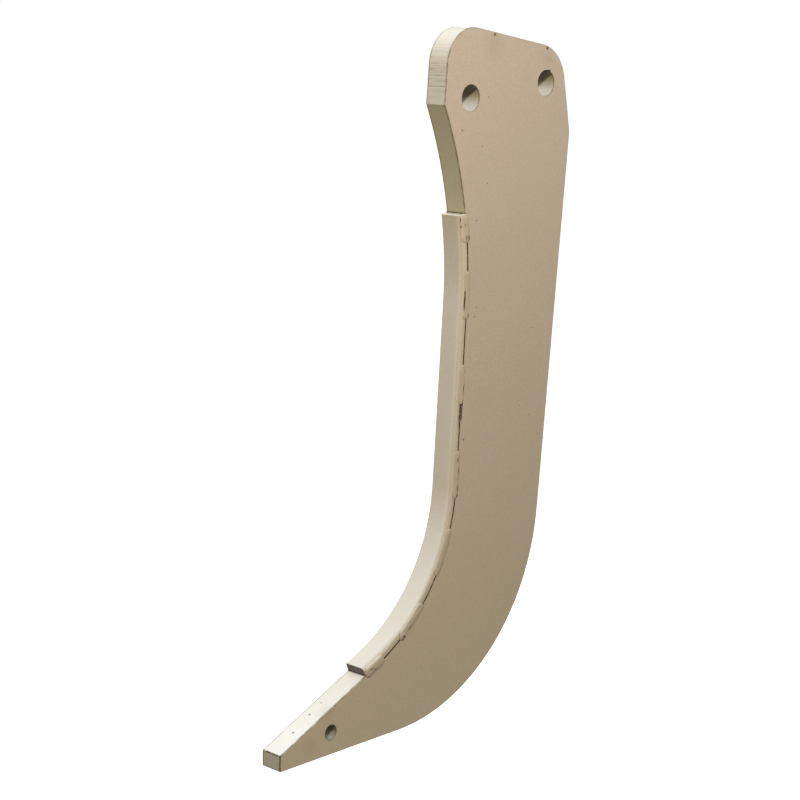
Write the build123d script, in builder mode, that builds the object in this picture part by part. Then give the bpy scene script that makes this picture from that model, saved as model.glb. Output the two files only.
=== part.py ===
from build123d import *
from math import asin, degrees, radians, tan
import os

os.makedirs("parts", exist_ok=True)

# A subsoiler shank: a thick profile-cut plate that is bolted up by two holes in its head,
# sweeps down and forward to a narrow toe for a pinned point, and carries a curved wear
# strip stitch-welded along its leading edge.
#
# Millimetres. X runs to the rear, Y across the plate, Z up, and the sole of the toe is
# level. The origin is the front head hole, at mid-thickness.

# Plate
plate_thickness = 25.8
head_front_top = (-33.9, 75.7)
head_front_low = (-38.6, -6.4)
head_rear_top = (143.6, 50.4)
head_rear_low = (162.6, -36.1)
head_front_radius = 39.0
head_rear_radius = 43.0
neck_slope = 65.7
neck_straight = 12.9
neck_radius = 422.0
shin_angle = 2.49
bend_radius = 195.0
toe_angle = 24.8
toe_reach = 251.4
sole_depth = 646.6
toe_tip_height = 16.5
heel_x = 116.9
heel_radius = 215.0

# Holes
head_hole_diameter = 27.0
rear_hole_x = 119.1
rear_hole_z = 14.8
toe_hole_diameter = 15.9
toe_hole_from_tip = 68.7
toe_hole_above_sole = 23.3

# Wear strip: where it starts, along the plate's front from the head's low corner, and its length
strip_depth = 9.5
strip_nose_radius = 4.8
strip_back_radius = 1.6
strip_start = 115.2
strip_length = 516.3

# Stitch welds: each bead's middle, as a share of the seam from the strip's top, and its length
bead_width = 11.0
bead_crown = 1.8
beads = [(0.030, 29), (0.164, 49), (0.344, 41), (0.527, 50), (0.688, 51), (0.846, 46), (0.970, 28)]


def meeting_point(first, first_angle, second, second_angle):
    """Where the line through one point, at an angle from +X, meets the line through another."""
    way = Vector(1, 0).rotate(Axis.Z, first_angle)
    other_way = Vector(1, 0).rotate(Axis.Z, second_angle)
    apart = Vector(second) - Vector(first)
    return Vector(first) + way * (apart.cross(other_way).Z / way.cross(other_way).Z)


# Corners of the toe and heel, from the reach, the depth and the height of the tip
toe_tip_top = (-toe_reach, toe_tip_height - sole_depth)
toe_tip_low = (-toe_reach, -sole_depth)
heel_corner = (heel_x, -sole_depth)
toe_hole = (toe_hole_from_tip - toe_reach, toe_hole_above_sole - sole_depth)

# The neck falls back straight from the head's low corner, then curves into the shin
neck_way = Vector(1, 0).rotate(Axis.Z, -neck_slope)
neck_turn = 90 + shin_angle - neck_slope
neck_corner = Vector(head_front_low) + neck_way * (neck_straight + neck_radius * tan(radians(neck_turn / 2)))

# The bend lies where the shin, which leans forward by its angle, meets the sloping toe
bend_corner = meeting_point(neck_corner, -90 - shin_angle, toe_tip_top, toe_angle)

# The plate's front under the head, and the stretch of it that is the seam with the strip
with BuildLine() as front:
    FilletPolyline(
        head_front_low, neck_corner, bend_corner, toe_tip_top, radius=[neck_radius, bend_radius]
    )
front_edge = front.wire()
strip_stop = strip_start + strip_length
seam = front_edge.trim(strip_start / front_edge.length, strip_stop / front_edge.length)
side_face = Plane.XZ.offset(plate_thickness / 2)
middle_seam = Plane.XZ.from_local_coords(seam)
left_seam = side_face.from_local_coords(seam)

# The plate: one outline of filleted corners, then the three holes
with BuildPart() as shank_plate:
    with BuildSketch(Plane.XZ) as outline:
        with BuildLine():
            FilletPolyline(
                head_front_top, head_front_low, neck_corner, bend_corner, toe_tip_top,
                toe_tip_low, heel_corner, head_rear_low, head_rear_top,
                radius=[head_front_radius, 0, neck_radius, bend_radius, 0,
                        0, heel_radius, 0, head_rear_radius],
                close=True,
            )
        make_face()
        with Locations((0, 0), (rear_hole_x, rear_hole_z)):
            Circle(head_hole_diameter / 2, mode=Mode.SUBTRACT)
        with Locations(toe_hole):
            Circle(toe_hole_diameter / 2, mode=Mode.SUBTRACT)
    extrude(amount=plate_thickness / 2, both=True)

shank_plate.part.label = "shank_plate"
export_step(shank_plate.part, "parts/shank_plate.step")

# The wear strip: round-edged flat bar as wide as the plate is thick, bent to its front edge
with BuildPart() as wear_strip:
    bar_plane = Plane(middle_seam @ 0, x_dir=(0, 1, 0), z_dir=middle_seam % 0)
    half_width = plate_thickness / 2
    with BuildSketch(bar_plane) as bar_section:
        with BuildLine():
            FilletPolyline(
                (-half_width, 0), (half_width, 0), (half_width, -strip_depth), (-half_width, -strip_depth),
                radius=[strip_back_radius, strip_back_radius, strip_nose_radius, strip_nose_radius],
                close=True,
            )
        make_face()
    sweep(path=middle_seam)

wear_strip.part.label = "wear_strip"
export_step(wear_strip.part, "parts/wear_strip.step")

# The stitch welds: each bead is a domed run over the seam with a round start and finish
dome_radius = (bead_width**2 / 4 + bead_crown**2) / (2 * bead_crown)
dome_centre = (bead_crown - dome_radius, 0)
dome_angle = degrees(asin(bead_width / 2 / dome_radius))

with BuildPart() as left_weld_beads:
    for middle, length in beads:
        reach = (length - bead_width) / 2 / left_seam.length
        run = left_seam.trim(middle - reach, middle + reach)
        with BuildSketch(Plane(run @ 0, x_dir=(0, -1, 0), z_dir=run % 0)):
            with BuildLine():
                dome = CenterArc(dome_centre, dome_radius, -dome_angle, 2 * dome_angle)
                Line(dome @ 1, dome @ 0)
            make_face()
        sweep(path=run)
        for place, turn in ((0, 1), (1, -1)):
            with BuildSketch(Plane(run @ place, x_dir=(0, -1, 0), z_dir=run % place)):
                with BuildLine():
                    cap = CenterArc(dome_centre, dome_radius, 0, dome_angle)
                    Polyline(cap @ 1, (0, 0), cap @ 0)
                make_face()
            revolve(axis=Axis(run @ place, (0, turn, 0)), revolution_arc=180)

left_weld_beads.part.label = "left_weld_beads"
export_step(left_weld_beads.part, "parts/left_weld_beads.step")

# The far side carries the same beads
with BuildPart() as right_weld_beads:
    mirror(left_weld_beads.part, about=Plane.XZ)

right_weld_beads.part.label = "right_weld_beads"
export_step(right_weld_beads.part, "parts/right_weld_beads.step")
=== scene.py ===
from bisect import bisect_right
from math import atan2, ceil, cos, exp, pi, radians, sin, sqrt, tan

import bmesh
import bpy
from mathutils import Euler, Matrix, Vector, geometry, noise


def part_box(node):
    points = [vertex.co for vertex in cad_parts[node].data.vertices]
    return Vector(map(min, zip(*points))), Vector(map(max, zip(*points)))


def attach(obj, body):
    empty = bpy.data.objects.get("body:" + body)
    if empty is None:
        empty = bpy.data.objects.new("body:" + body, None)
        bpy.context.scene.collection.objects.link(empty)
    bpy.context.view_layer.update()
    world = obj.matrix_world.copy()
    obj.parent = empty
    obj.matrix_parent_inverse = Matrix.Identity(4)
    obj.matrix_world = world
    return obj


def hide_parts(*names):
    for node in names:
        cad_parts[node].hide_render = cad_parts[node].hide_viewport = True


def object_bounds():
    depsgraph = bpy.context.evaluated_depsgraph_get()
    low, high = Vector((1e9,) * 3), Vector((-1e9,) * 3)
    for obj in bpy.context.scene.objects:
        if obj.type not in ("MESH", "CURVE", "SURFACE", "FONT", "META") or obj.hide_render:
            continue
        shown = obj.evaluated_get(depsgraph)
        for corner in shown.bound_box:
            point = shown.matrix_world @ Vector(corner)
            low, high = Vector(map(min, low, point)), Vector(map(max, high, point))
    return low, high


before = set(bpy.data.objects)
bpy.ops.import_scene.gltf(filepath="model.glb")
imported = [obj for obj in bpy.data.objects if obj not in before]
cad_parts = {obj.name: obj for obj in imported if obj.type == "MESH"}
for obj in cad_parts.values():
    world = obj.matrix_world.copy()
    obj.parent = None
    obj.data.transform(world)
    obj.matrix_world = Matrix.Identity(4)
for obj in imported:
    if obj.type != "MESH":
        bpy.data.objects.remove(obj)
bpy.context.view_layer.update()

# A painted subsoiler shank: the profile-cut plate, the round-edged wear strip on its leading
# edge and the stitch welds between them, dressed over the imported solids. Metres, in the
# frame of the solids: X to the rear, Y across the plate, Z up, with the left side, which the
# camera sees, at -Y. Outlines lie in the plate's plane: a point of one has x for X, y for Z.

mm = 0.001
scene = bpy.context.scene

# Camera: its place in metres, its turns in degrees, its lens and sensor in millimetres
camera_place = (-1.44239, -1.26708, 0.05798)
camera_turn = (79.0928, -1.394, -46.8162)
camera_lens = 84.63
camera_sensor = 36.0

# Sky: faint glows from straight above and from the shank's front, and the main one between them
white = (1.0, 1.0, 1.0, 1.0)
sky_tint = (0.98, 1.0, 0.965, 1.0)
above_glow = 0.03
above_range = (-0.2, 0.5)
front_glows = [((-1.0, 0.0, 0.2), 0.08), ((-0.7, 0.0, 0.7), 0.77)]
front_range = (0.1, 0.9)

# Lamps: name, place, target, width and height, watts, and tint
shank_middle = (-0.04, 0.0, -0.30)
front_hole = (0.0, 0.0, 0.0)
neck_middle = (0.0, 0.0, -0.1)
neutral = (1.0, 1.0, 1.0)
warm = (1.0, 0.975, 0.96)
lamps = [
    ("top_softbox", (0.1, 1.9, 1.9), shank_middle, (1.6, 1.0), 5.7, neutral),
    ("key_lamp", (-0.60, -1.09, 0.80), front_hole, (0.16, 0.16), 17.5, warm),
    ("back_softbox", (1.3, 1.5, 0.0), shank_middle, (1.0, 1.0), 18.0, neutral),
    ("front_softbox", (-0.3, -1.3, 0.5), neck_middle, (0.8, 0.8), 1.6, neutral),
]

# Floor, so far under the shank that its shadow falls below the picture
floor_drop = 0.30
floor_size = 40.0
floor_pale = (0.85, 0.85, 0.85, 1.0)
floor_dull = (0.30, 0.30, 0.29, 1.0)
floor_glow = 0.80

# Frame: the plate's box, the gap that still joins two corners, and how square to Y a flat face is
plate_low, plate_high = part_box("shank_plate")
half_plate = (plate_high[1] - plate_low[1]) / 2
same_place = 0.001 * mm
flat_facing = 0.99

# Plate: its mesh along the outline, round its corners and edges, and across the cut edge
outline_step = 0.72 * mm
sharp_turn = radians(12)
corner_radius = 1.2 * mm
corner_steps = 10
plate_rounding = 0.8 * mm
rounding_steps = 4
wall_columns = 16

# Holes: their mesh, and the places along X that tell the rear head hole and the toe's hole
hole_points = 180
hole_rounding = 0.5 * mm
rear_hole_from = 50 * mm
toe_hole_from = -50 * mm

# Marks of the torch all round: fine drag lines that lag across the cut, and a slow swell
drag_pitch = 1.1 * mm
drag_breadth = 9 * mm
drag_depth = 0.05 * mm
drag_lag = 1.6 * mm
swell_pitch = 16 * mm
swell_breadth = 30 * mm
swell_depth = 0.10 * mm

# Gouges across the head's front, in front of a place and above a level, at these heights
gouge_front = -20 * mm
gouge_floor = -4 * mm
gouge_heights = [height * mm for height in (29.4, 28.0, 26.5, 24.6, 21.7, 11.0, 45.9, 38.0)]
gouge_depth = 0.25 * mm
gouge_width = 0.35 * mm
gouge_least = 0.1
gouge_breadth = 8 * mm
gouge_drift = 0.5 * mm
drift_breadth = 14 * mm
gouge_dirt = 0.42

# Scratches between the gouges, which fade out up to the head's top
scratch_pitch = 0.9 * mm
scratch_breadth = 25 * mm
scratch_depth = 0.10 * mm
scratch_wander = 0.2
wander_breadth = 12 * mm
scratch_share = (0.1, 0.45)
scratch_fade = (68 * mm, 45 * mm)

# Nicks in the plate's top edge, and the start of the torch's cut in the rear hole
nick_places = [(34.0 * mm, 63.8 * mm), (119.2 * mm, 51.5 * mm)]
nick_size = 1.3 * mm
nick_depth = 0.9 * mm
nick_dirt_depth = 0.4 * mm
pierce_angle = radians(68)
pierce_depth = 1.9 * mm
pierce_reach = 1.7 * mm
pierce_dirt = 1.6

# Bores: painted shade, and painted shadow past the depth that light from the front and above reaches
bore_light_angle = radians(-45.8)
bore_light_reach = 0.854
bore_light_least = 0.4 * mm
bore_shadow_blur = 0.6 * mm
bore_painted_shade = 0.12
toe_bore_light_reach = 0.5
toe_bore_painted_shade = 0.45
bore_painted_shadow = 0.85

# The toe's cut end: the paint rubbed thin, dirt along its edges, and chips in its top edge
tip_line = (1.2 * mm, 0.36 * mm)
tip_bare = 0.3
chip_pitch = 1.7 * mm
chip_excess = 0.4
chip_base = 0.6 * mm
chip_height = 0.8 * mm
chip_blur = (-0.4 * mm, 0.2 * mm)
chip_spread = (-0.2, 0.1)
tip_sole_line = (1.6 * mm, 0.5 * mm)
tip_sole_dirt = 0.8
tip_side_line = (1.2 * mm, 0.6 * mm)
tip_side_dirt = 0.9

# Dark lines on the plate at the strip's two ends: how far down from the end, and how wide
top_line = (-0.1 * mm, 0.45 * mm)
foot_line = (0.3 * mm, 0.7 * mm)

# Crevice left open under the strip, between two distances down from the strip's top
crevice = (194 * mm, 218 * mm)
crevice_ends = (3 * mm, 6 * mm)
crevice_width = 2.9 * mm
crevice_depth = 2.6 * mm
crevice_pitch = 1.6 * mm
crevice_least = 0.44
crevice_clean = 0.3
crevice_bare = 0.4

# Wear strip: its section, its mesh, and how far past its depth it may still be found
strip_depth = 9.5 * mm
nose_radius = 4.8 * mm
far_radius = 2.4 * mm
back_radius = 1.6 * mm
arc_steps = 9
section_step = 1.6 * mm
strip_step = 1.0 * mm
strip_rim = 0.6 * mm
top_ring = 1.6 * strip_rim
seam_slack = 1.0 * mm

# Strip's surface: the depth, length and breadth of its waves and its dents, and the painted shade on its
# near nose
strip_wave = (0.25 * mm, 38 * mm, 20 * mm)
strip_dent = (0.06 * mm, 6 * mm, 7 * mm)
nose_painted_shade = 0.22
nose_facing = 0.70
nose_spread = 0.20

# Dirt and bare steel at the strip's back, as distances out from it, and how the crevice adds to them
back_dirt = (0.8 * back_radius, 0.3 * back_radius)
open_dirt = (1.4, 3.0)
open_line = (2.6 * back_radius, 1.2 * back_radius)
open_spread = 0.55
open_bare = 0.45

# Rings round the strip's bare foot, as inset and dirt
foot_rings = [(1.0 * mm, 0.8), (1.5 * mm, 0.0)]

# Stitch welds, from the strip's top down: millimetres over the plate and over the strip, fullness
bead_reaches = [(3.6, 8.8), (3.6, 6.2), (3.4, 5.8), (3.4, 5.2), (3.4, 5.6), (3.8, 6.6), (4.8, 7.8)]
bead_fullness = [0.34, 0.30, 0.32, 0.40, 0.45, 0.60, 0.95]

# Each weld's mesh, root, dome, blunt ends and least and greatest lift, and the lowest weld's tail
bead_step = 0.4 * mm
bead_columns = 36
bead_root = 0.8 * mm
bead_dome = 0.8
bead_blunt = 0.08
bead_least = 0.08 * mm
bead_most = 0.97
bead_tail = 1.2 * mm

# Unevenness of the welds: the wander of their line, their edges, their lumps and their ripples
line_wander = 0.4 * mm
line_pitch = 15 * mm
edge_wander = 0.12
edge_pitch = 7 * mm
lump_height = 0.25 * mm
lump_pitch = 9 * mm
ripple_pitch = 2.3 * mm
ripple_depth = 0.12 * mm
ripple_bow = 2.2 * mm
ripple_drift = 0.4
drift_pitch = 5 * mm

# Craters and creases in the welds: bead, then up from its end, across, size and depth in millimetres
crater_places = [(1, 3.6, -2.4, 1.6, 0.5), (2, 3.4, -2.2, 1.7, 0.6), (5, 4.5, -1.0, 2.3, 0.9)]
crease_places = [
    (0, 4.6, -2.6, 1.3, 0.5), (0, 4.6, 0.9, 1.3, 0.4), (0, 17.5, 7.6, 0.6, 0.3),
    (0, 18.2, 2.0, 0.5, 0.3), (0, 25.0, 7.8, 1.2, 0.3), (3, 41.0, 0.2, 1.2, 0.3),
    (3, 29.0, -2.4, 1.4, 0.4), (3, 11.0, -2.8, 1.8, 0.4), (2, 17.0, -2.6, 2.4, 0.3),
    (3, 3.0, -2.4, 0.9, 0.4), (5, 17.5, -0.8, 1.8, 0.8), (6, 8.0, 2.4, 1.3, 0.6),
    (6, 13.0, -1.4, 1.0, 0.5),
]
crater_bowl = 0.55
crater_lip = (1.15, 0.3)
crater_lip_height = 0.5
crater_ring = (0.8, 0.3)
crater_dirt = 1.4
crater_side = (0.1, -0.5)
crease_dirt = 1.5
crease_width = 0.6 * mm
crease_slant = 0.15
crease_length = 1.8

# Slit along the second weld, between two shares of its length
slit_bead = 1
slit_run = (0.38, 0.84)
slit_ends = (0.08, 0.06)
slit_across = 3.9 * mm
slit_wander = 0.3 * mm
slit_width = 0.8 * mm
slit_depth = 0.8 * mm
slit_dirt = 2.0

# Dirt round each weld's rim: a broken line, closed round the weld's finish
rim_line = (0.2 * mm, 0.55 * mm)
rim_breaks = 9
rim_broken = (-0.15, 0.35)
finish_reach = (6.0 * mm, 3.0 * mm)
plate_rim_dirt = (0.7, 1.0)
strip_rim_dirt = (0.15, 0.4)

# Paint: its tones on each piece at the head and at the toe, and on the torch-cut edges
plate_tones = ((198, 177, 153), (193, 174, 144))
strip_tones = ((206, 187, 159), (199, 181, 153))
weld_tones = ((200, 178, 149), (188, 168, 140))
cut_tone = (196, 180, 144)
tone_heights = (-0.35, 0.25)
tone_mottle = 0.5
level_noise = (0.35, 0.65)
level_shares = (0.945, 1.055)
level_detail = 2.0
level_harshness = 0.7

# Painted sheen: paint made pale by its share of facing forward and up, and whitest on top of the toe
sheen_way = (-0.45, 0.0, 0.893)
sheen_facing = (0.26, 0.94)
sheen_share = 0.8
sheen_tone = (226, 221, 211)
toe_sheen_tone = (247, 245, 239)
toe_sheen_facing = (0.97, 1.0)
toe_sheen_stretch = (-0.22, -0.13)
toe_sheen_shares = (0.85, 0.15)

# Stains on the left face: x, z and radius in millimetres, and strength
stain_tone = (150, 127, 88)
stain_places = [(34, 54, 22, 0.18), (121, 40, 11, 0.22), (-187, -600, 14, 0.22), (-212, -630, 13, 0.22)]
stain_core = 0.2

# Specks on the left face as x, z and size, and on the toe's top as x, y, z and size, in millimetres
speck_tone = (84, 68, 48)
left_specks = [
    (5.0, -350.9, 1.1), (19.0, -213.6, 0.8), (16.3, -222.7, 0.9), (14.6, -123.5, 0.9),
    (110.3, -243.1, 0.8), (127.6, -361.4, 0.8), (110.8, -338.1, 0.7), (-11.3, -31.9, 1.1),
    (94.9, -326.2, 0.7), (30.0, -86.5, 0.7), (26.8, 1.2, 0.7), (20.0, -48.3, 0.8),
    (-25.0, -38.7, 1.0), (34.0, 63.4, 1.9), (119.2, 50.9, 2.1),
]
toe_specks = [(-222.0, 0.0, -616.9, 1.3), (-197.0, 3.0, -605.2, 1.2), (-180.0, 4.0, -597.4, 0.9)]
speck_reach = (0.5, 1.25)
speck_strength = 0.95

# Faint specks all over: the few cells that have one, its size in its cell, and its strength
rare_cells = (0.93, 0.94)
faint_reach = (0.030, 0.055)
faint_strength = 0.45

# Tones of rubbed edges, of painted shade, of soil, and of bare steel
wear_tone = (108, 88, 58)
painted_shade_tone = (92, 82, 60)
soil_tone = (70, 50, 30)
steel_tones = ((140, 129, 120), (106, 96, 89))

# How noise breaks up the wear, the soil and the steel's tones
wear_noise = (0.30, 0.60)
wear_shares = (0.4, 0.9)
soil_noise = (0.38, 0.46)
soil_shares = (0.5, 1.0)
steel_noise = (0.35, 0.65)

# Grain of the surface, as noise scales from coarse to fine
mottle_scale = 13.0
speck_scale = 70.0
rolled_scale = 110.0
wear_scale = 160.0
soil_scale = 330.0
steel_scale = 500.0
level_scale = 520.0
peel_scale = 900.0

# Gloss and relief: satin paint over rolled plate, and dull soil and steel
paint_ior = 1.5
paint_roughness = (0.44, 0.52)
gloss_noise = (0.3, 0.7)
matt_roughness = 0.75
paint_specular = 0.5
paint_coat = 0.25
coat_roughness = 0.36
rolled_height = 0.10 * mm
rolled_strength = 0.12
peel_height = 0.03 * mm
peel_strength = 0.15
peel_detail = 2.0


def soft_step(low, high, value):
    """0 at low, 1 at high, and a smooth change between them, whichever is the greater."""
    share = min(1.0, max(0.0, (value - low) / (high - low)))
    return share * share * (3 - 2 * share)


def bell(value, middle, spread):
    """A bell of height 1 at middle."""
    return exp(-((value - middle) / spread) ** 2)


def grain(x, y=0.37, z=0.71):
    """Smooth noise from -1 to 1. A constant among its arguments sets one use of it apart."""
    return noise.noise(Vector((x, y, z)))


def uneven(low, high, x, y=0.37, z=0.71):
    """A value that wanders smoothly between low and high."""
    return low + (high - low) * (0.5 + 0.5 * grain(x, y, z))


def rounded_edge(radius):
    """Steps (in from the face, in from the side) round an edge, from the face to the side."""
    turns = [pi / 2 * k / rounding_steps for k in range(rounding_steps + 1)]
    return [(radius * (1 - cos(turn)), radius * (1 - sin(turn))) for turn in turns]


# Outlines read from the frame

def joined_solid(node):
    """A node's mesh with its corners joined, to be freed after use."""
    solid = bmesh.new()
    solid.from_mesh(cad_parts[node].data)
    bmesh.ops.remove_doubles(solid, verts=solid.verts, dist=same_place)
    return solid


def flat_face_loops(node):
    """The loops of (x, z) points that bound a node's flat face on the side of -Y, longest first."""
    solid = joined_solid(node)
    ways = set()
    for face in solid.faces:
        if -face.normal.y > flat_facing:
            ways.update((side.vert.index, side.link_loop_next.vert.index) for side in face.loops)
    follower = {start: end for start, end in ways if (end, start) not in ways}
    solid.verts.ensure_lookup_table()
    loops = []
    while follower:
        loop = [min(follower)]
        while (after := follower.pop(loop[-1])) != loop[0]:
            loop.append(after)
        loops.append([Vector((solid.verts[i].co.x, solid.verts[i].co.z)) for i in loop])
    solid.free()
    return sorted(loops, key=loop_length, reverse=True)


def loop_length(loop):
    """The length of a closed loop."""
    return sum((end - start).length for start, end in zip(loop, loop[1:] + loop[:1]))


def marks_along(points):
    """The distance of each point from the first, along a line of them."""
    marks = [0.0]
    for start, end in zip(points, points[1:]):
        marks.append(marks[-1] + (end - start).length)
    return marks


def softened(corners):
    """The loop with each sharp corner turned into a small arc."""
    points = []
    for i, corner in enumerate(corners):
        arriving = (corner - corners[i - 1]).normalized()
        leaving = (corners[(i + 1) % len(corners)] - corner).normalized()
        turn = -arriving.angle_signed(leaving)
        if abs(turn) < sharp_turn:
            points.append(corner)
            continue
        reach = corner_radius * tan(abs(turn) / 2)
        inward = Vector((-arriving.y, arriving.x)) * (1 if turn > 0 else -1)
        middle = corner - arriving * reach + inward * corner_radius
        for k in range(corner_steps + 1):
            swing = abs(turn) * k / corner_steps
            points.append(middle + (arriving * sin(swing) - inward * cos(swing)) * corner_radius)
    return points


def refined(corners, step):
    """A faceted loop run again at a finer step, with its arcs made round."""
    count = len(corners)
    ways = [(corners[(i + 1) % count] - corners[i - 1]).normalized() for i in range(count)]
    points = []
    for i in range(count):
        start, end = corners[i], corners[(i + 1) % count]
        run = (end - start).length
        pieces = ceil(run / step)
        for k in range(pieces):
            t = k / pieces
            points.append(
                start * (2 * t**3 - 3 * t**2 + 1) + ways[i] * run * (t**3 - 2 * t**2 + t)
                + end * (3 * t**2 - 2 * t**3) + ways[(i + 1) % count] * run * (t**3 - t**2)
            )
    return points


def circle_loop(corners):
    """A hole's middle, and its faceted loop as a fine circle that keeps the metal on its left."""
    middle = sum(corners, Vector((0, 0))) / len(corners)
    radius = max((corner - middle).length for corner in corners)
    turns = [-2 * pi * k / hole_points for k in range(hole_points)]
    return middle, [middle + radius * Vector((cos(turn), sin(turn))) for turn in turns]


def outward(loop):
    """The outward normal at each point of a loop that keeps the metal on its left."""
    count = len(loop)
    ways = [loop[(i + 1) % count] - loop[i - 1] for i in range(count)]
    return [Vector((way.y, -way.x)).normalized() for way in ways]


class Seam:
    """The path of the strip's back along the plate's front, from the strip's top to its foot."""

    def __init__(self, loop, strip_node):
        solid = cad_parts[strip_node].data
        corners = [Vector((corner.co.x, corner.co.z)) for corner in solid.vertices]
        normals = outward(loop)
        top = self.nearest(loop, normals, max(corners, key=lambda corner: corner.y))
        foot = self.nearest(loop, normals, min(corners, key=lambda corner: corner.x))
        first, last = sorted((top, foot))
        self.points = loop[first:last + 1]
        self.normals = normals[first:last + 1]
        self.sense = 1
        if top > foot:
            self.points.reverse()
            self.normals.reverse()
            self.sense = -1
        self.start = marks_along(loop)[top]
        self.marks = marks_along(self.points)
        self.length = self.marks[-1]

    def run(self, mark):
        """How far down the strip, from its top, a distance along the whole outline lies."""
        return (mark - self.start) * self.sense

    @staticmethod
    def nearest(loop, normals, place):
        """The index of the loop's point that has a place of the strip straight out from it."""
        def miss(i):
            offset = place - loop[i]
            out = offset.dot(normals[i])
            return (offset - normals[i] * out).length + max(0.0, abs(out) - strip_depth - seam_slack)
        return min(range(len(loop)), key=miss)

    def at(self, along):
        """The point and outward normal at a distance along the seam, straight on past its ends."""
        inside = min(max(along, 0.0), self.length)
        i = min(bisect_right(self.marks, inside), len(self.marks) - 1)
        share = (inside - self.marks[i - 1]) / (self.marks[i] - self.marks[i - 1])
        point = self.points[i - 1].lerp(self.points[i], share)
        normal = self.normals[i - 1].lerp(self.normals[i], share).normalized()
        way = Vector((normal.y, -normal.x))
        if way.dot(self.points[i] - self.points[i - 1]) < 0:
            way.negate()
        return point + way * (along - inside), normal

    def along(self, place):
        """The distance along the seam of its point nearest to a place."""
        return self.marks[min(range(len(self.points)), key=lambda i: (self.points[i] - place).length)]


# Meshes

class Skin:
    """A piece while it is made: its vertices, its faces, and the values that its paint reads.

    Wear is rubbed paint, soil is dirt, bare is bare steel, the shade values are painted shade
    and painted shadow, and cut is an edge left by the torch. Each goes from 0 to 1.
    """

    def __init__(self):
        self.vertices = []
        self.faces = []
        self.flat = set()
        self.values = {"wear": [], "soil": [], "bare": [], "shade": [], "cut": []}

    def add(self, place, **values):
        """Adds a vertex, with the values that aren't 0 there, and returns its index."""
        self.vertices.append(place)
        for label, numbers in self.values.items():
            numbers.append(values.get(label, 0.0))
        return len(self.vertices) - 1

    def bridge(self, row, other, closed=False):
        """Quads between two rows of as many vertices."""
        count = len(row)
        for i in range(count if closed else count - 1):
            after = (i + 1) % count
            self.faces.append((row[i], row[after], other[after], other[i]))

    def cap(self, rows, outlines):
        """A flat face inside the first row, with the other rows as its holes."""
        order = [vertex for row in rows for vertex in row]
        lifted = [[Vector((*point, 0.0)) for point in outline] for outline in outlines]
        for corners in geometry.tessellate_polygon(lifted):
            self.flat.add(len(self.faces))
            self.faces.append(tuple(order[corner] for corner in corners))

    def piece(self, name, node, material):
        """Makes the finished piece, which stands for its node."""
        mesh = bpy.data.meshes.new(name)
        mesh.from_pydata(self.vertices, [], self.faces)
        for label, numbers in self.values.items():
            mesh.attributes.new(label, "FLOAT", "POINT").data.foreach_set("value", numbers)
        mesh.polygons.foreach_set("use_smooth", [i not in self.flat for i in range(len(self.faces))])
        shell = bmesh.new()
        shell.from_mesh(mesh)
        bmesh.ops.recalc_face_normals(shell, faces=shell.faces)
        shell.to_mesh(mesh)
        shell.free()
        mesh.materials.append(material)
        made = bpy.data.objects.new(name, mesh)
        scene.collection.objects.link(made)
        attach(made, "root")
        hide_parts(node)


# Plate

def torch_marks(along, place, y):
    """How deep the torch's marks and its gouges lie at a place on the plate's cut edge."""
    lag = along + drag_lag * ((y + half_plate) / (2 * half_plate)) ** 2
    marks = uneven(0.0, drag_depth, lag / drag_pitch, y / drag_breadth)
    marks += uneven(0.0, swell_depth, lag / swell_pitch, y / swell_breadth, 5.3)
    gouge = 0.0
    if place.x < gouge_front and place.y > gouge_floor:
        wander = scratch_wander * grain(y / wander_breadth)
        scratch = grain(place.y / scratch_pitch + wander, y / scratch_breadth, 3.3)
        gouge += scratch_depth * soft_step(*scratch_share, scratch) * soft_step(*scratch_fade, place.y)
        for n, height in enumerate(gouge_heights):
            share = uneven(gouge_least, 1.0, y / gouge_breadth, n * 3.1)
            drift = uneven(-gouge_drift, gouge_drift, y / drift_breadth, n * 1.7)
            gouge += gouge_depth * share * bell(place.y, height + drift, gouge_width)
    return marks, gouge


def nick_marks(place, y):
    """How deep the nicks lie at a place on the plate's edge. They are in its left face's rim."""
    depth = 0.0
    for x, z in nick_places:
        apart = sqrt((place.x - x) ** 2 + (place.y - z) ** 2 + (y + half_plate) ** 2)
        depth += nick_depth * bell(apart, 0, nick_size)
    return depth


def seam_darkening(run, length):
    """How dark the plate's edge is made under the strip, and in a line at the strip's two ends."""
    if 0 < run < length:
        return 1.0
    return bell(run, *top_line) + bell(run - length, *foot_line)


def crevice_share(run, y):
    """How far open the crevice is, from 0 to 1, at a place on the plate's edge under the strip."""
    top, foot = crevice
    share = soft_step(top, top + crevice_ends[0], run) * soft_step(foot, foot - crevice_ends[1], run)
    share *= soft_step(crevice_depth - half_plate, -half_plate, y)
    return share * uneven(crevice_least, 1.0, run / crevice_pitch, 9.1)


def tip_marks(place, y, tip_x, tip_z):
    """How bare the toe's cut end is at a place, and how dirty along its four edges."""
    bare = tip_bare * soft_step(*tip_line, place.x - tip_x)
    if bare == 0:
        return 0.0, 0.0
    chip = grain(y / chip_pitch, 4.4) + chip_excess
    edge = tip_z - chip_base - chip_height * max(0.0, chip)
    top = soft_step(edge + chip_blur[0], edge + chip_blur[1], place.y) * soft_step(*chip_spread, chip)
    above_sole = place.y - plate_low[2]
    in_from_side = half_plate - abs(y)
    return bare, max(
        top,
        tip_sole_dirt * soft_step(*tip_sole_line, above_sole),
        tip_side_dirt * soft_step(*tip_side_line, in_from_side),
    )


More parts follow.
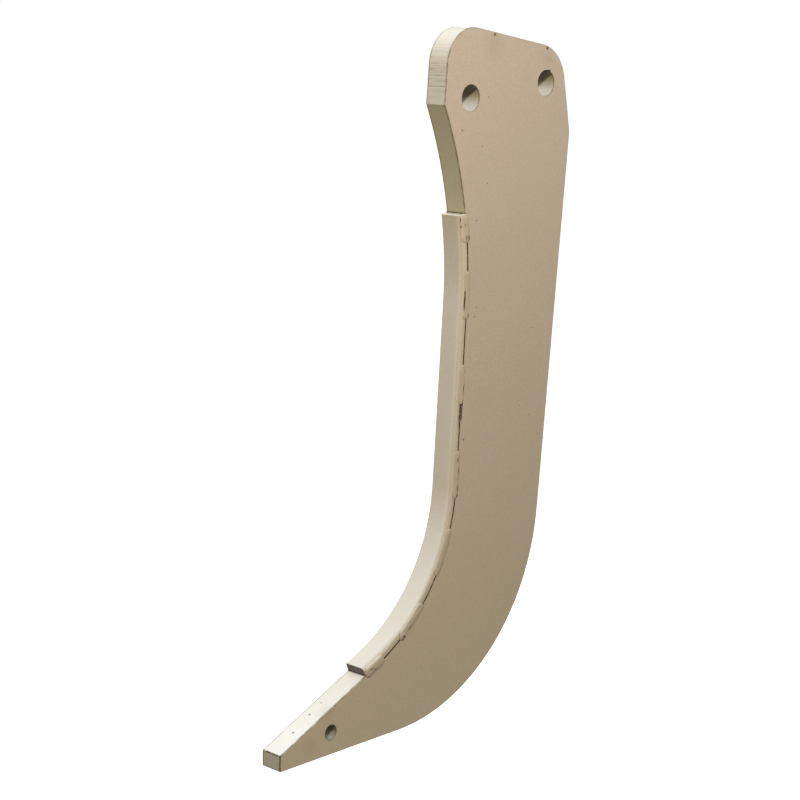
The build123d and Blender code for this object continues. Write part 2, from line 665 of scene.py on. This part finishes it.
def hole_carver(middle):
    """The function that says how deep one hole's bore is cut at a place, how dirty, and how much painted
    shade and painted shadow darken it.
    """
    pierced = middle.x > rear_hole_from
    toe = middle.x < toe_hole_from
    reach, least_painted_shade = (toe_bore_light_reach, toe_bore_painted_shade) if toe else (bore_light_reach, bore_painted_shade)

    def carve(along, place, y):
        offset = place - middle
        turn = atan2(offset.y, offset.x)
        from_start = abs(turn - pierce_angle) * offset.length
        notch = max(0.0, 1 - from_start / pierce_reach) if pierced else 0.0
        rough = uneven(0.0, drag_depth, along / drag_pitch, y / drag_breadth, middle.x * 90)
        # Painted shadow: light from the front and above reaches the bore only to this depth; past it the
        # bore is darkened
        painted = max(bore_light_least, 2 * reach * offset.length * cos(turn - bore_light_angle))
        in_painted_shadow = soft_step(-bore_shadow_blur, bore_shadow_blur, half_plate + y - painted)
        shade = least_painted_shade + (bore_painted_shadow - least_painted_shade) * in_painted_shadow
        return rough + pierce_depth * notch, {"soil": min(1.0, pierce_dirt * notch), "shade": shade}

    return carve


def add_wall(skin, loop, rounding, carve):
    """Adds the cut edge along a loop, and returns its rows of vertices on the two faces.

    carve gives the depth of the marks, and the values that the paint reads, at a distance
    along the loop, a place on it and a y.
    """
    normals = outward(loop)
    marks = marks_along(loop)
    near = [(step - half_plate, inset) for step, inset in rounded_edge(rounding)]
    run = 2 * (half_plate - rounding) / wall_columns
    middle = [(rounding - half_plate + run * k, 0.0) for k in range(1, wall_columns)]
    levels = near + middle + [(-y, inset) for y, inset in near[::-1]]
    rows = []
    for n, (y, inset) in enumerate(levels):
        from_face = min(n, len(levels) - 1 - n)
        wear = 1.0 if 0 < from_face <= rounding_steps else 0.0
        row = []
        for along, point, normal in zip(marks, loop, normals):
            depth, values = carve(along, point, y)
            place = point - normal * (inset + depth)
            if from_face == 0:
                row.append(skin.add((place.x, y, place.y)))
            else:
                row.append(skin.add((place.x, y, place.y), wear=wear, cut=1.0, **values))
        rows.append(row)
    for row, other in zip(rows, rows[1:]):
        skin.bridge(row, other, closed=True)
    return rows[0], rows[-1]


def make_plate(loops, seam, material):
    """The plate, with torch-cut edges, nicks and a notch where the rear hole's cut began."""
    tip_x = plate_low[0]
    tip_z = max(point.y for point in loops[0] if point.x < tip_x + corner_radius)

    def carve_outline(along, place, y):
        nick = nick_marks(place, y)
        marks, gouge = torch_marks(along, place, y)
        run = seam.run(along)
        gap = crevice_share(run, y)
        bare, tip_soil = tip_marks(place, y, tip_x, tip_z)
        soil = min(1.0, nick / nick_dirt_depth) + gouge_dirt * gouge / gouge_depth
        soil = max(soil, seam_darkening(run, seam.length)) * (1 - crevice_clean * gap)
        values = {"soil": min(1.0, max(soil, tip_soil)), "bare": max(bare, crevice_bare * gap)}
        return marks + gouge + nick + crevice_width * gap, values

    skin = Skin()
    walls = [add_wall(skin, loops[0], plate_rounding, carve_outline)]
    for corners in loops[1:]:
        middle, loop = circle_loop(corners)
        walls.append(add_wall(skin, loop, hole_rounding, hole_carver(middle)))
    for rows in zip(*walls):
        outlines = [[(skin.vertices[i][0], skin.vertices[i][2]) for i in row] for row in rows]
        skin.cap(rows, outlines)
    skin.piece("painted_plate", "shank_plate", material)


# Wear strip

def strip_section(half):
    """Points (out, y) round the strip's section, with their outward directions."""
    corners = [
        (back_radius, -half + back_radius, back_radius, pi, 3 * pi / 2),
        (strip_depth - nose_radius, -half + nose_radius, nose_radius, 3 * pi / 2, 2 * pi),
        (strip_depth - far_radius, half - far_radius, far_radius, 0, pi / 2),
        (back_radius, half - back_radius, back_radius, pi / 2, pi),
    ]
    ring = []
    for out, y, radius, start, end in corners:
        for k in range(arc_steps + 1):
            turn = start + (end - start) * k / arc_steps
            ring.append((out + radius * cos(turn), y + radius * sin(turn), cos(turn), sin(turn)))
    points = []
    for here, after in zip(ring, ring[1:] + ring[:1]):
        gap = sqrt((after[0] - here[0]) ** 2 + (after[1] - here[1]) ** 2)
        pieces = max(1, round(gap / section_step))
        points += [tuple(a + (b - a) * k / pieces for a, b in zip(here, after)) for k in range(pieces)]
    return points


def strip_relief(along, y):
    """How deep the strip's front lies under its full depth at a place on it."""
    wave_depth, wave_pitch, wave_breadth = strip_wave
    dent_depth, dent_pitch, dent_breadth = strip_dent
    wave = uneven(0.0, wave_depth, along / wave_pitch, y / wave_breadth, 2.2)
    return wave + uneven(0.0, dent_depth, along / dent_pitch, y / dent_breadth, 8.1)


def strip_values(along, out, way_out, way_y):
    """How dirty, bare and darkened the strip's painted side is: dirty at its back, with painted shade on
    its near nose.
    """
    opened = bell(along, sum(crevice) / 2, open_spread * (crevice[1] - crevice[0]))
    clean_from, dirty_to = (line * (1 + more * opened) for line, more in zip(back_dirt, open_dirt))
    return {
        "soil": soft_step(clean_from, dirty_to, out),
        "bare": open_bare * opened * soft_step(*open_line, out),
        # Painted shade: the near nose is darkened where it faces halfway between the front and the side
        "shade": nose_painted_shade * bell(way_out, nose_facing, nose_spread) if way_y < 0 else 0.0,
    }


def make_strip(seam, material):
    """The wear strip along the seam: soft rolled edges, sawn ends, the foot's end left bare."""
    low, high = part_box("wear_strip")
    section = strip_section((high[1] - low[1]) / 2)
    ends = rounded_edge(strip_rim)
    steps = ceil((seam.length - 2 * strip_rim) / strip_step)
    run = (seam.length - 2 * strip_rim) / steps
    stations = [(0.0, top_ring)] + ends
    stations += [(strip_rim + run * k, 0.0) for k in range(1, steps)]
    stations += [(seam.length - along, inset) for along, inset in ends[::-1]]
    painted = len(stations)
    stations += [(seam.length, inset) for inset, dirt in foot_rings]
    skin = Skin()
    rows = []
    for n, (along, inset) in enumerate(stations):
        point, normal = seam.at(along)
        row = []
        for out, y, way_out, way_y in section:
            sink = inset + strip_relief(along, y) * max(0.0, way_out)
            place = point + normal * (out - way_out * sink)
            values = strip_values(along, out, way_out, way_y)
            if n >= painted:
                values.update(soil=foot_rings[n - painted][1], bare=1.0)
            row.append(skin.add((place.x, y - way_y * inset, place.y), **values))
        rows.append(row)
    for row, other in zip(rows, rows[1:]):
        skin.bridge(row, other, closed=True)
    end_face = [(out - way_out * strip_rim, y - way_y * strip_rim) for out, y, way_out, way_y in section]
    for row in (rows[0], rows[-1]):
        skin.cap([row], [end_face])
    skin.piece("painted_strip", "wear_strip", material)


# Stitch welds

def bead_runs(node, seam):
    """Each bead's first and last place along the seam, read from the node's solids."""
    solid = joined_solid(node)
    left = set(solid.verts)
    runs = []
    while left:
        group = [left.pop()]
        for corner in group:
            for edge in corner.link_edges:
                other = edge.other_vert(corner)
                if other in left:
                    left.remove(other)
                    group.append(other)
        places = [seam.along(Vector((corner.co.x, corner.co.z))) for corner in group]
        runs.append((min(places), max(places)))
    solid.free()
    return sorted(runs)


def round_the_nose(across, lift, radius):
    """(out, y) of a point lifted off the plate and strip, at a distance across from the seam."""
    turn_at = strip_depth - radius
    if across <= turn_at:
        return across, half_plate + lift
    turn = min((across - turn_at) / radius, pi / 2)
    reach = radius + lift
    return turn_at + reach * sin(turn), half_plate - radius + reach * cos(turn)


def sunk(number, from_end, across):
    """How deep a bead's craters and creases lie at a place, and how much dirt sits in them."""
    depth = dirt = 0.0
    for bead, up, over, size, deep in crater_places:
        if bead == number:
            up_by, over_by = from_end - up * mm, across - over * mm
            apart = sqrt(up_by**2 + over_by**2) / (size * mm)
            lip = crater_lip_height * bell(apart, *crater_lip)
            depth += deep * mm * (bell(apart, 0, crater_bowl) - lip)
            towards_plate = soft_step(*crater_side, over_by / (size * mm))
            dirt += crater_dirt * bell(apart, *crater_ring) * (0.5 + 0.5 * towards_plate)
    for bead, up, over, size, deep in crease_places:
        if bead == number:
            up_by, over_by = from_end - up * mm, across - over * mm
            line = bell(over_by + crease_slant * up_by, 0, crease_width)
            line *= bell(up_by, 0, crease_length * size * mm)
            depth += deep * mm * line
            dirt += crease_dirt * line
    return depth, dirt


def slit_share(along, share, across):
    """How far open the slit is, from 0 to 1, at a place on its weld."""
    first, last = slit_run
    ends = soft_step(first, first + slit_ends[0], share) * soft_step(last, last - slit_ends[1], share)
    line = slit_across + uneven(-slit_wander, slit_wander, along / drift_pitch)
    return ends * bell(across, line, slit_width)


def rim_dirt(number, share, from_rim, from_end, on_plate):
    """How dirty a bead is towards its rim: a fine broken line, closed round its finish."""
    broken = soft_step(*rim_broken, grain(share * rim_breaks, number * 2.7, 1.0 if on_plate else 6.0))
    line_dirt, finish_dirt = plate_rim_dirt if on_plate else strip_rim_dirt
    finish = soft_step(*finish_reach, from_end)
    return bell(from_rim, *rim_line) * max(line_dirt * broken, finish_dirt * finish)


def weld_relief(number, side, along, u, dome):
    """How much a weld's lumps and ripples add to its height, u from -1 to 1 across it."""
    phase = (along + ripple_bow * u**2) / ripple_pitch
    phase += uneven(-ripple_drift, ripple_drift, along / drift_pitch, number)
    ripple = ripple_depth * (0.5 + 0.5 * cos(2 * pi * phase)) * min(1.0, 2 * dome)
    lump = uneven(-lump_height, lump_height, along / lump_pitch, u, number * 4.4 + side)
    return (lump - ripple) * dome


def add_bead(skin, seam, start, end, crown, side, number):
    """One weld bead: a domed run with soft ripples, rough edges, and a sunk or creased finish."""
    on_plate, on_strip = (reach * mm for reach in bead_reaches[number])
    radius = nose_radius if side < 0 else far_radius
    width = (on_plate + on_strip) / 2
    shift = (on_strip - on_plate) / 2
    steps = ceil((end - start) / bead_step)
    top_rows, root_rows = [], []
    for k in range(steps + 1):
        share = k / steps
        along = start + (end - start) * share
        from_end = end - along
        closing = max(0.0, 1 - bead_blunt - min(along - start, from_end) / width)
        fullness = sqrt(1 - closing**2)
        middle = shift * fullness
        middle += uneven(-line_wander, line_wander, along / line_pitch, number * 2.3, side)
        point, normal = seam.at(along)
        top, root = [], []
        for c in range(bead_columns + 1):
            u = 2 * c / bead_columns - 1
            edge_seed = number * 1.9 + side
            reach = width * fullness
            reach *= uneven(1 - edge_wander, 1 + edge_wander, along / edge_pitch, u * 0.6, edge_seed)
            across = middle + u * reach
            dome = (fullness**2 * (1 - u**2)) ** bead_dome
            depth, soil = sunk(number, from_end, across)
            soil += rim_dirt(number, share, (1 - abs(u)) * reach, from_end, u < 0)
            if number == slit_bead:
                slit = slit_share(along, share, across)
                depth += slit_depth * slit
                soil += slit_dirt * slit
            lift = crown * bead_fullness[number] * dome + weld_relief(number, side, along, u, dome)
            lift = min(max(lift - depth, bead_least), bead_most * crown)
            on_rim = k in (0, steps) or c in (0, bead_columns)
            out, y = round_the_nose(across, 0.0 if on_rim else lift, radius)
            place = point + normal * out
            top.append(skin.add((place.x, side * y, place.y), soil=min(1.0, soil)))
            if on_rim:
                root.append(top[-1])
            else:
                out, y = round_the_nose(across, -bead_root * dome, radius)
                place = point + normal * out
                root.append(skin.add((place.x, side * y, place.y)))
        top_rows.append(top)
        root_rows.append(root)
    for rows in (top_rows, root_rows):
        for row, other in zip(rows, rows[1:]):
            skin.bridge(row, other)


def make_beads(name, node, side, seam, material):
    """All the stitch welds on one side of the shank."""
    low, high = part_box(node)
    crown = max(abs(low[1]), abs(high[1])) - half_plate
    skin = Skin()
    runs = bead_runs(node, seam)
    for number, (start, end) in enumerate(runs):
        tail = bead_tail if number == len(runs) - 1 else 0.0
        add_bead(skin, seam, start, end + tail, crown, side, number)
    skin.piece(name, node, material)


# Materials

class Nodes:
    """Short ways to make and wire nodes in a tree."""

    def __init__(self, tree):
        self.tree = tree
        tree.nodes.clear()

    def make(self, kind, inputs=None, **settings):
        """Adds a node, with its settings, and with values or other nodes' outputs as its inputs."""
        node = self.tree.nodes.new("ShaderNode" + kind)
        for name, value in settings.items():
            setattr(node, name, value)
        for name, value in (inputs or {}).items():
            if isinstance(value, bpy.types.NodeSocket):
                self.tree.links.new(value, node.inputs[name])
            else:
                node.inputs[name].default_value = value
        return node

    def mix(self, factor, first, second, blend="MIX"):
        """The colour between first and second."""
        inputs = {0: factor, 6: first, 7: second}
        node = self.make("Mix", inputs, data_type="RGBA", blend_type=blend, clamp_factor=True)
        return node.outputs[2]

    def math(self, operation, first, second):
        """The result of an operation on two numbers."""
        return self.make("Math", {0: first, 1: second}, operation=operation).outputs[0]

    def measure(self, operation, first, second):
        """The one number that an operation on two vectors gives."""
        return self.make("VectorMath", {0: first, 1: second}, operation=operation).outputs["Value"]

    def noise(self, place, scale, detail=3.0, roughness=0.5):
        """Noise from 0 to 1, finer with a larger scale."""
        inputs = {"Vector": place, "Scale": scale, "Detail": detail, "Roughness": roughness}
        return self.make("TexNoise", inputs).outputs["Fac"]

    def spread(self, value, low, high, to_low=0.0, to_high=1.0):
        """A value mapped from low and high to two others, and held between them."""
        inputs = {"Value": value, "From Min": low, "From Max": high, "To Min": to_low, "To Max": to_high}
        return self.make("MapRange", inputs, clamp=True).outputs["Result"]

    def value(self, name):
        """A value that the mesh carries."""
        return self.make("Attribute", attribute_name=name, attribute_type="GEOMETRY").outputs["Fac"]

    def spot(self, place, centre, core, rim, strength):
        """A round spot: its strength within the core, and 0 beyond the rim."""
        return self.spread(self.measure("DISTANCE", place, centre), core, rim, strength, 0.0)

    def show(self, shader, kind="OutputMaterial"):
        """Sends a shader to the tree's output."""
        self.make(kind, {"Surface": shader.outputs[0]})


def srgb(levels):
    """A colour in levels of 0 to 255, as linear numbers."""
    def linear(level):
        share = level / 255
        return share / 12.92 if share <= 0.04045 else ((share + 0.055) / 1.055) ** 2.4
    return (*(linear(level) for level in levels), 1.0)


def paint_colour(nodes, place, mottle, tones):
    """The clean paint: mottled, yellower on cut edges, and pale with painted sheen on what faces forward
    and up.
    """
    head_tone, toe_end_tone = tones
    axes = nodes.make("SeparateXYZ", {0: place}).outputs
    height = nodes.math("ADD", axes["Z"], nodes.math("MULTIPLY", mottle, tone_mottle))
    colour = nodes.mix(nodes.spread(height, *tone_heights, 1.0, 0.0), srgb(head_tone), srgb(toe_end_tone))
    colour = nodes.mix(nodes.value("cut"), colour, srgb(cut_tone))
    fine = nodes.noise(place, level_scale, level_detail, level_harshness)
    level = nodes.spread(fine, *level_noise, *level_shares)
    grey = nodes.make("CombineColor", {0: level, 1: level, 2: level}).outputs[0]
    colour = nodes.mix(1.0, colour, grey, "MULTIPLY")

    # Painted sheen: a pale tone by how much the surface faces forward and up, whitest on top of the toe
    normal = nodes.make("NewGeometry").outputs["Normal"]
    facing = nodes.measure("DOT_PRODUCT", normal, sheen_way)
    painted_sheen = nodes.spread(facing, *sheen_facing, 0.0, sheen_share)
    colour = nodes.mix(painted_sheen, colour, srgb(sheen_tone))
    toe_sheen = nodes.spread(axes["X"], *toe_sheen_stretch, *toe_sheen_shares)
    toe_sheen = nodes.math("MULTIPLY", nodes.spread(facing, *toe_sheen_facing), toe_sheen)
    return nodes.mix(toe_sheen, colour, srgb(toe_sheen_tone))


def add_spots(nodes, place, colour):
    """The colour with the stains and specks of the photograph, and with faint specks all over."""
    for x, z, size, strength in stain_places:
        centre = (x * mm, -half_plate, z * mm)
        close = nodes.spot(place, centre, stain_core * size * mm, size * mm, strength)
        colour = nodes.mix(close, colour, srgb(stain_tone))

    cells = nodes.make("TexVoronoi", {"Vector": place, "Scale": speck_scale}).outputs
    rare = nodes.spread(nodes.make("SeparateColor", {0: cells["Color"]}).outputs[0], *rare_cells)
    close = nodes.spread(cells["Distance"], *faint_reach, 1.0, 0.0)
    speck = nodes.math("MULTIPLY", nodes.math("MULTIPLY", rare, close), faint_strength)
    specks = [((x * mm, -half_plate, z * mm), size * mm) for x, z, size in left_specks]
    specks += [((x * mm, y * mm, z * mm), size * mm) for x, y, z, size in toe_specks]
    for centre, size in specks:
        core, rim = (share * size for share in speck_reach)
        speck = nodes.math("MAXIMUM", speck, nodes.spot(place, centre, core, rim, speck_strength))
    return nodes.mix(speck, colour, srgb(speck_tone))


def paint(name, tones):
    """Satin machine paint over steel: mottled, specked, thin on its edges, dirty in its seams, with
    painted sheen and painted shade.
    """
    material = bpy.data.materials.new(name)
    material.use_nodes = True
    nodes = Nodes(material.node_tree)
    place = nodes.make("TexCoord").outputs["Object"]
    mottle = nodes.noise(place, mottle_scale)
    colour = add_spots(nodes, place, paint_colour(nodes, place, mottle, tones))

    patchy = nodes.spread(nodes.noise(place, wear_scale), *wear_noise, *wear_shares)
    wear = nodes.math("MULTIPLY", nodes.value("wear"), patchy)
    colour = nodes.mix(wear, colour, srgb(wear_tone))
    # Painted shade: darkens the bores and the strip's near nose, with a painted shadow deep in the bores
    colour = nodes.mix(nodes.value("shade"), colour, srgb(painted_shade_tone))
    broken = nodes.spread(nodes.noise(place, soil_scale), *soil_noise, *soil_shares)
    soil = nodes.math("MULTIPLY", nodes.value("soil"), broken)
    colour = nodes.mix(soil, colour, srgb(soil_tone))
    pale_steel, dark_steel = steel_tones
    dark = nodes.spread(nodes.noise(place, steel_scale), *steel_noise)
    steel = nodes.mix(dark, srgb(pale_steel), srgb(dark_steel))
    bare = nodes.value("bare")
    colour = nodes.mix(bare, colour, steel)

    matt = nodes.math("MAXIMUM", soil, bare)
    glossy = nodes.math("SUBTRACT", 1.0, matt)
    roughness = nodes.spread(mottle, *gloss_noise, *paint_roughness)
    roughness = nodes.math("MAXIMUM", roughness, nodes.math("MULTIPLY", matt, matt_roughness))

    rolled = nodes.make("Bump", {
        "Strength": rolled_strength,
        "Distance": rolled_height,
        "Height": nodes.noise(place, rolled_scale),
    })
    peeled = nodes.make("Bump", {
        "Strength": peel_strength,
        "Distance": peel_height,
        "Height": nodes.noise(place, peel_scale, peel_detail),
        "Normal": rolled.outputs[0],
    })
    nodes.show(nodes.make("BsdfPrincipled", {
        "Base Color": colour,
        "Roughness": roughness,
        "IOR": paint_ior,
        "Specular IOR Level": nodes.math("MULTIPLY", glossy, paint_specular),
        "Coat Weight": nodes.math("MULTIPLY", glossy, paint_coat),
        "Coat Roughness": coat_roughness,
        "Normal": peeled.outputs[0],
    }))
    return material


# Surroundings

def make_floor():
    """A plain pale floor that shows white to the camera and keeps a soft shadow."""
    mesh = bpy.data.meshes.new("floor")
    reach = floor_size / 2
    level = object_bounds()[0][2] - floor_drop
    corners = [(x * reach, y * reach, level) for x, y in ((-1, -1), (1, -1), (1, 1), (-1, 1))]
    mesh.from_pydata(corners, [], [(0, 1, 2, 3)])
    floor = bpy.data.objects.new("floor", mesh)
    scene.collection.objects.link(floor)
    material = bpy.data.materials.new("floor")
    material.use_nodes = True
    nodes = Nodes(material.node_tree)
    pale = nodes.make("BsdfDiffuse", {"Color": floor_pale})
    dull = nodes.make("BsdfDiffuse", {"Color": floor_dull})
    glow = nodes.make("Emission", {"Color": white, "Strength": floor_glow})
    shown = nodes.make("AddShader", {0: pale.outputs[0], 1: glow.outputs[0]})
    seen = nodes.make("LightPath").outputs["Is Camera Ray"]
    nodes.show(nodes.make("MixShader", {0: seen, 1: dull.outputs[0], 2: shown.outputs[0]}))
    mesh.materials.append(material)


def make_world():
    """A soft sky, brightest above the shank's front, that shows as plain white behind the shank."""
    world = bpy.data.worlds.new("studio")
    scene.world = world
    world.use_nodes = True
    nodes = Nodes(world.node_tree)
    way = nodes.make("TexCoord").outputs["Generated"]
    height = nodes.make("SeparateXYZ", {0: way}).outputs["Z"]
    strength = nodes.spread(height, *above_range, 0.0, above_glow)
    for side, level in front_glows:
        facing = nodes.measure("DOT_PRODUCT", way, side)
        strength = nodes.math("ADD", nodes.spread(facing, *front_range, 0.0, level), strength)
    sky = nodes.make("Background", {"Color": sky_tint, "Strength": strength})
    plain = nodes.make("Background", {"Color": white, "Strength": 1.0})
    path = nodes.make("LightPath").outputs
    seen = nodes.math("MAXIMUM", path["Is Camera Ray"], path["Is Transmission Ray"])
    seen = nodes.math("MAXIMUM", seen, path["Is Glossy Ray"])
    either = nodes.make("MixShader", {0: seen, 1: sky.outputs[0], 2: plain.outputs[0]})
    nodes.show(either, "OutputWorld")


def add_lamp(name, place, target, shape, power, tint):
    """A soft rectangular lamp at a place, turned to a target."""
    lamp = bpy.data.lights.new(name, "AREA")
    lamp.shape = "RECTANGLE"
    lamp.size, lamp.size_y = shape
    lamp.energy = power
    lamp.color = tint
    made = bpy.data.objects.new(name, lamp)
    scene.collection.objects.link(made)
    made.location = place
    made.rotation_euler = (Vector(target) - Vector(place)).to_track_quat("-Z", "Y").to_euler()


def make_camera():
    """The camera of the photograph."""
    camera = bpy.data.cameras.new("camera")
    camera.lens = camera_lens
    camera.sensor_width = camera_sensor
    made = bpy.data.objects.new("camera", camera)
    scene.collection.objects.link(made)
    made.location = camera_place
    made.rotation_euler = Euler([radians(turn) for turn in camera_turn])
    scene.camera = made


# The shank

face_loops = flat_face_loops("shank_plate")
sole = plate_low[2]
plate_outline = refined(softened(face_loops[0]), outline_step)
plate_outline = [Vector((point.x, max(point.y, sole))) for point in plate_outline]
strip_seam = Seam(plate_outline, "wear_strip")

make_plate([plate_outline] + face_loops[1:], strip_seam, paint("plate_paint", plate_tones))
make_strip(strip_seam, paint("strip_paint", strip_tones))
weld_paint = paint("weld_paint", weld_tones)
make_beads("left_stitch_welds", "left_weld_beads", -1, strip_seam, weld_paint)
make_beads("right_stitch_welds", "right_weld_beads", 1, strip_seam, weld_paint)

# The studio

make_floor()
make_world()
for lamp in lamps:
    add_lamp(*lamp)
make_camera()
scene.view_settings.view_transform = "Standard"
